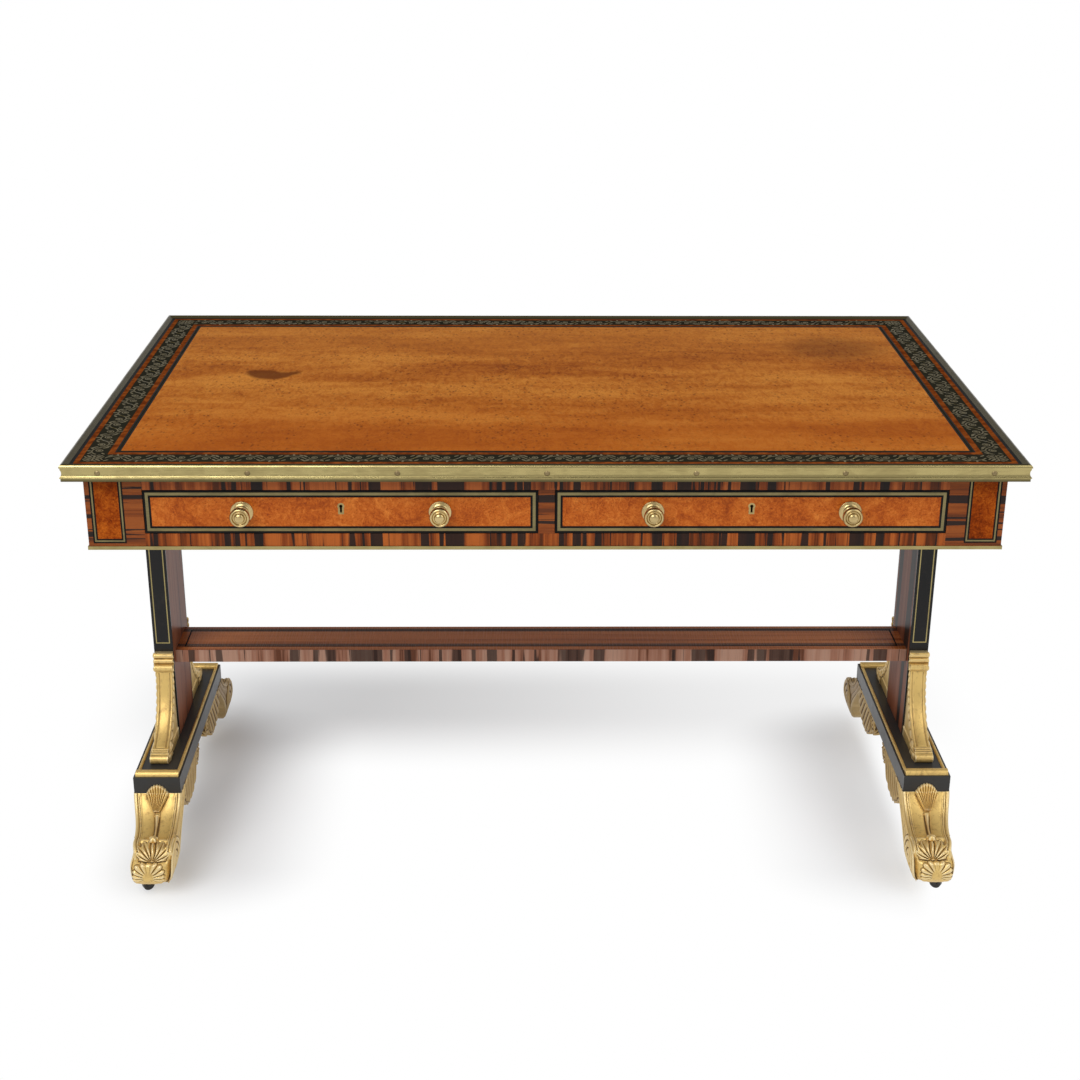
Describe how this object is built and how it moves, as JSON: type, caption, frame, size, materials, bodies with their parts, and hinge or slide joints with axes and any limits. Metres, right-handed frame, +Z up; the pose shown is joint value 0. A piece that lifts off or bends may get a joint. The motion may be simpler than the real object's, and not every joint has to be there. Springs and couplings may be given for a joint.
{
  "type": "writing table",
  "caption": "Rectangular inlaid writing table with a brass edge, frieze drawers, twin uprights joined by a stretcher, and gilt scroll feet on recessed castors.",
  "frame": {"origin": "on the floor under the middle of the top", "axes": "+Z up, +X to the right along the top's length, drawers open towards -Y"},
  "size_m": [1.29, 0.795, 0.735],
  "materials": {
    "mahogany": "oiled carcase wood",
    "amboyna": "polished burr veneer",
    "crossband": "polished crossbanding",
    "marquetry": "ebony inlaid with brass scrolls",
    "stringing": "brass line between ebony lines",
    "coromandel": "polished streaked veneer",
    "ebonised": "polished black",
    "gilt": "burnished gold leaf on carved wood",
    "brass": "aged polished brass",
    "lock_brass": "plain brass",
    "bolt_steel": "bright steel",
    "castor_iron": "dark patinated metal"
  },
  "bodies": {
    "frame": {"top_board": "mahogany", "edge_moulding_front": "brass", "edge_moulding_right": "brass", "edge_moulding_back": "brass", "edge_moulding_left": "brass", "edge_moulding_pins": "brass", "top_field_veneer": "amboyna", "top_crossbands": "crossband", "top_stringing": "stringing", "top_marquetry": "marquetry", "front_top_rail": "coromandel", "front_bottom_rail": "coromandel", "centre_stile": "coromandel", "corner_posts": "coromandel", "side_rail_right": "coromandel", "side_rail_left": "coromandel", "back_rail": "coromandel", "back_knobs": "brass", "frieze_panels": "amboyna", "frieze_stringing": "stringing", "frieze_beads": "brass", "drawer_runners": "mahogany", "drawer_kickers": "mahogany", "upright_right": "coromandel", "upright_left": "coromandel", "upright_facings": "ebonised", "upright_lines": "brass", "brackets": "gilt", "stretcher": "coromandel", "stretcher_lines": "ebonised", "plinth_right": "ebonised", "plinth_left": "ebonised", "plinth_beads": "gilt", "feet": "gilt", "foot_scrolls": "gilt", "castor_plates": "lock_brass"},
    "left_drawer": {"left_drawer_front": "mahogany", "left_drawer_box": "mahogany", "left_drawer_bottom": "mahogany", "left_drawer_panel": "amboyna", "left_drawer_stringing": "stringing", "left_drawer_knobs": "brass", "left_drawer_lock": "lock_brass"},
    "left_lock_bolt": {"left_drawer_bolt": "bolt_steel"},
    "right_drawer": {"right_drawer_front": "mahogany", "right_drawer_box": "mahogany", "right_drawer_bottom": "mahogany", "right_drawer_panel": "amboyna", "right_drawer_stringing": "stringing", "right_drawer_knobs": "brass", "right_drawer_lock": "lock_brass"},
    "right_lock_bolt": {"right_drawer_bolt": "bolt_steel"},
    "castor_fork_front_left": {"castor_fork_front_left": "lock_brass"},
    "castor_wheel_front_left": {"castor_wheel_front_left": "castor_iron"},
    "castor_fork_front_right": {"castor_fork_front_right": "lock_brass"},
    "castor_wheel_front_right": {"castor_wheel_front_right": "castor_iron"},
    "castor_fork_back_left": {"castor_fork_back_left": "lock_brass"},
    "castor_wheel_back_left": {"castor_wheel_back_left": "castor_iron"},
    "castor_fork_back_right": {"castor_fork_back_right": "lock_brass"},
    "castor_wheel_back_right": {"castor_wheel_back_right": "castor_iron"}
  },
  "joints": [
    {"name": "left_drawer_slide", "type": "slide", "parent": "frame", "child": "left_drawer", "axis": [0, -1, 0], "range_m": [0, 0.42]},
    {"name": "left_bolt_throw", "type": "slide", "parent": "left_drawer", "child": "left_lock_bolt", "axis": [0, 0, 1], "range_m": [0, 0.008]},
    {"name": "right_drawer_slide", "type": "slide", "parent": "frame", "child": "right_drawer", "axis": [0, -1, 0], "range_m": [0, 0.42]},
    {"name": "right_bolt_throw", "type": "slide", "parent": "right_drawer", "child": "right_lock_bolt", "axis": [0, 0, 1], "range_m": [0, 0.008]},
    {"name": "front_left_swivel", "type": "hinge", "parent": "frame", "child": "castor_fork_front_left", "pos_m": [-0.6045, -0.266, 0.024], "axis": [0, 0, 1], "continuous": true},
    {"name": "front_left_roll", "type": "hinge", "parent": "castor_fork_front_left", "child": "castor_wheel_front_left", "pos_m": [-0.60696, -0.26772, 0.009], "axis": [0.5736, -0.8192, 0], "continuous": true},
    {"name": "front_right_swivel", "type": "hinge", "parent": "frame", "child": "castor_fork_front_right", "pos_m": [0.6045, -0.266, 0.024], "axis": [0, 0, 1], "continuous": true},
    {"name": "front_right_roll", "type": "hinge", "parent": "castor_fork_front_right", "child": "castor_wheel_front_right", "pos_m": [0.60696, -0.26772, 0.009], "axis": [0.5736, 0.8192, 0], "continuous": true},
    {"name": "back_left_swivel", "type": "hinge", "parent": "frame", "child": "castor_fork_back_left", "pos_m": [-0.6045, 0.266, 0.024], "axis": [0, 0, 1], "continuous": true},
    {"name": "back_left_roll", "type": "hinge", "parent": "castor_fork_back_left", "child": "castor_wheel_back_left", "pos_m": [-0.6071, 0.2675, 0.009], "axis": [-0.5, -0.866, 0], "continuous": true},
    {"name": "back_right_swivel", "type": "hinge", "parent": "frame", "child": "castor_fork_back_right", "pos_m": [0.6045, 0.266, 0.024], "axis": [0, 0, 1], "continuous": true},
    {"name": "back_right_roll", "type": "hinge", "parent": "castor_fork_back_right", "child": "castor_wheel_back_right", "pos_m": [0.60722, 0.26727, 0.009], "axis": [-0.4226, 0.9063, 0], "continuous": true}
  ]
}
